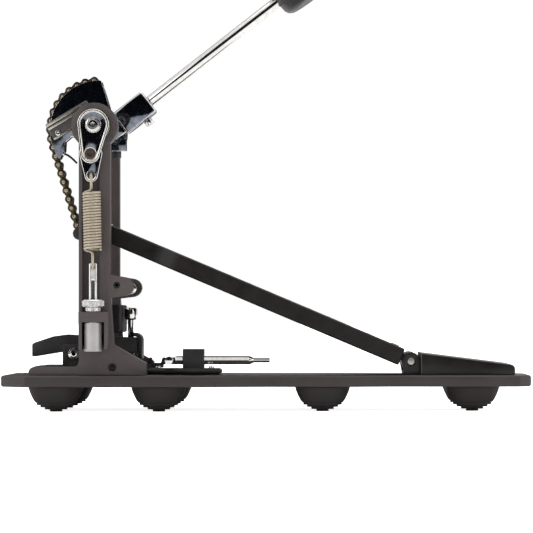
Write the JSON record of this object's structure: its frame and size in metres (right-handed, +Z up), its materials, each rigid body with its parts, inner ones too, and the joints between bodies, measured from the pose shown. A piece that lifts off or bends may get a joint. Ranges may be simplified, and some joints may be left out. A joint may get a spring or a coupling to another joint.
{
  "type": "bass drum pedal",
  "caption": "Chain-driven bass drum pedal on a solid plate, with side posts, a hinged footboard, a return spring, a swinging beater and a hoop clamp.",
  "frame": {"origin": "on the floor, at the centre of the object's box", "axes": "+X from the drum end to the heel end, +Z up, +Y to the far side from the spring"},
  "size_m": [0.3632, 0.1348, 0.3408],
  "materials": {
    "frame_metal": "matte powder coat, warm dark grey",
    "board_metal": "satin black anodised look",
    "clamp_metal": "matte black coat",
    "plated": "dark mirror plating",
    "zinc": "bright zinc plate",
    "aluminium": "satin turned",
    "spring_steel": "bright drawn wire",
    "chrome": "mirror",
    "chain_steel": "oiled dark steel",
    "rubber": "matte black",
    "plastic": "matte black moulding",
    "felt": "pressed wool felt"
  },
  "bodies": {
    "frame": {"base_plate": "frame_metal", "rubber_foot_1": "rubber", "rubber_foot_2": "rubber", "rubber_foot_3": "rubber", "rubber_foot_4": "rubber", "rubber_foot_5": "rubber", "rubber_foot_6": "rubber", "rubber_foot_7": "rubber", "rubber_foot_8": "rubber", "near_post": "frame_metal", "far_post": "frame_metal", "cross_block": "clamp_metal", "near_arm_stud": "chrome", "far_arm_stud": "chrome", "near_bearing": "aluminium", "far_bearing": "aluminium", "hoop_pad": "rubber", "clamp_bracket": "clamp_metal", "clamp_pivot_screw": "zinc", "eye_bolt": "zinc", "lock_ring": "zinc", "spring_sleeve": "aluminium", "heel_plate": "board_metal", "heel_hinge": "clamp_metal", "hinge_pin": "zinc", "tool_plate": "clamp_metal", "tool_clip": "plastic"},
    "footboard": {"footboard": "board_metal", "hinge_knuckle": "clamp_metal", "chain_bracket": "clamp_metal"},
    "shaft": {"main_shaft": "plated", "drive_cam": "plated", "cam_slide": "clamp_metal", "cam_chain": "chain_steel", "beater_hub": "plated", "beater_bolt": "chrome", "shaft_collar": "plated", "spring_lever": "plated", "lever_bolt": "zinc"},
    "chain_1": {"chain_link_1": "chain_steel"},
    "chain_2": {"chain_link_2": "chain_steel"},
    "chain_3": {"chain_link_3": "chain_steel"},
    "chain_4": {"chain_link_4": "chain_steel"},
    "chain_5": {"chain_link_5": "chain_steel"},
    "chain_6": {"chain_link_6": "chain_steel"},
    "chain_run": {"chain_run": "chain_steel"},
    "beater": {"beater_rod": "chrome"},
    "beater_head": {"beater_core": "plastic", "beater_felt": "felt"},
    "spring_lower": {"spring_lower_hook": "spring_steel", "spring_coil": "spring_steel"},
    "spring_upper": {"spring_upper_hook": "spring_steel", "spring_link": "plated"},
    "tension_nut": {"tension_nut": "zinc"},
    "clamp_arm": {"clamp_arm": "clamp_metal", "clamp_cap": "clamp_metal"},
    "clamp_screw": {"clamp_screw": "chrome"},
    "drum_key": {"drum_key": "chrome"},
    "wing_nut": {"wing_nut": "clamp_metal"}
  },
  "joints": [
    {"name": "footboard_press", "type": "hinge", "parent": "frame", "child": "footboard", "pos_m": [0.1001, 0.0024, 0.0344], "axis": [0, -1, 0], "range_deg": [0, 8.4], "stiffness_Nm_per_rad": 22, "springref_deg": -6.88},
    {"name": "shaft_turn", "type": "hinge", "parent": "frame", "child": "shaft", "pos_m": [-0.1185, 0.0024, 0.197], "axis": [0, -1, 0], "range_deg": [0, 53.21]},
    {"name": "chain_bend_1", "type": "hinge", "parent": "shaft", "child": "chain_1", "pos_m": [-0.14442, 0.0024, 0.22037], "axis": [0, 1, 0], "range_deg": [0, 10.99]},
    {"name": "chain_bend_2", "type": "hinge", "parent": "chain_1", "child": "chain_2", "pos_m": [-0.14823, 0.0024, 0.21528], "axis": [0, 1, 0], "range_deg": [0, 10.44]},
    {"name": "chain_bend_3", "type": "hinge", "parent": "chain_2", "child": "chain_3", "pos_m": [-0.15105, 0.0024, 0.20959], "axis": [0, 1, 0], "range_deg": [0, 10.44]},
    {"name": "chain_bend_4", "type": "hinge", "parent": "chain_3", "child": "chain_4", "pos_m": [-0.15279, 0.0024, 0.20349], "axis": [0, 1, 0], "range_deg": [0, 10.44]},
    {"name": "chain_bend_5", "type": "hinge", "parent": "chain_4", "child": "chain_5", "pos_m": [-0.1534, 0.0024, 0.19717], "axis": [0, 1, 0], "range_deg": [0, 10.44]},
    {"name": "chain_bend_6", "type": "hinge", "parent": "chain_5", "child": "chain_6", "pos_m": [-0.15285, 0.0024, 0.19084], "axis": [0, 1, 0], "range_deg": [0, 9.84]},
    {"name": "chain_run_bend", "type": "hinge", "parent": "chain_6", "child": "chain_run", "pos_m": [-0.15123, 0.0024, 0.18471], "axis": [0, 1, 0], "range_deg": [0, 2.28]},
    {"name": "spring_swing", "type": "hinge", "parent": "frame", "child": "spring_lower", "pos_m": [-0.1189, -0.0576, 0.0994], "axis": [0, 1, 0], "range_deg": [0, 11.37]},
    {"name": "spring_stretch", "type": "slide", "parent": "spring_lower", "child": "spring_upper", "axis": [-0.0195, 0, 0.9998], "range_m": [0, 0.00781], "deforming": ["spring_coil"]},
    {"name": "beater_height", "type": "slide", "parent": "shaft", "child": "beater", "axis": [0.788, 0, 0.6157], "range_m": [0, 0.012]},
    {"name": "beater_head_turn", "type": "hinge", "parent": "beater", "child": "beater_head", "pos_m": [0.02618, 0.0024, 0.30305], "axis": [0.788, 0, 0.6157], "continuous": true},
    {"name": "tension_nut_turn", "type": "hinge", "parent": "frame", "child": "tension_nut", "pos_m": [-0.1189, -0.0576, 0.0746], "axis": [0, 0, 1], "continuous": true},
    {"name": "clamp_screw_turn", "type": "hinge", "parent": "frame", "child": "clamp_screw", "pos_m": [-0.0969, 0.0024, 0.05], "axis": [0, 0, 1], "range_deg": [-360, 1440]},
    {"name": "clamp_jaw_tilt", "type": "hinge", "parent": "frame", "child": "clamp_arm", "pos_m": [-0.1358, 0.0024, 0.0394], "axis": [0, 1, 0], "range_deg": [-1.89, 7.41]},
    {"name": "key_slide", "type": "slide", "parent": "frame", "child": "drum_key", "axis": [-1, 0, 0], "range_m": [0, 0.062]},
    {"name": "wing_nut_turn", "type": "hinge", "parent": "frame", "child": "wing_nut", "pos_m": [-0.078, -0.0016, 0.031], "axis": [0, 0, 1], "continuous": true}
  ],
  "couplings": [
    {"joint": "shaft_turn", "follows": "footboard_press", "ratio": 6.332},
    {"joint": "chain_bend_1", "follows": "footboard_press", "ratio": 1.3082},
    {"joint": "chain_bend_2", "follows": "footboard_press", "ratio": 1.2428},
    {"joint": "chain_bend_3", "follows": "footboard_press", "ratio": 1.2428},
    {"joint": "chain_bend_4", "follows": "footboard_press", "ratio": 1.2428},
    {"joint": "chain_bend_5", "follows": "footboard_press", "ratio": 1.2428},
    {"joint": "chain_bend_6", "follows": "footboard_press", "ratio": 1.1709},
    {"joint": "chain_run_bend", "follows": "footboard_press", "ratio": 0.27155},
    {"joint": "spring_swing", "follows": "footboard_press", "ratio": 1.3515},
    {"joint": "spring_stretch", "follows": "footboard_press", "m_per_rad": 0.053136},
    {"joint": "clamp_jaw_tilt", "follows": "clamp_screw_turn", "ratio": 0.0051142}
  ]
}
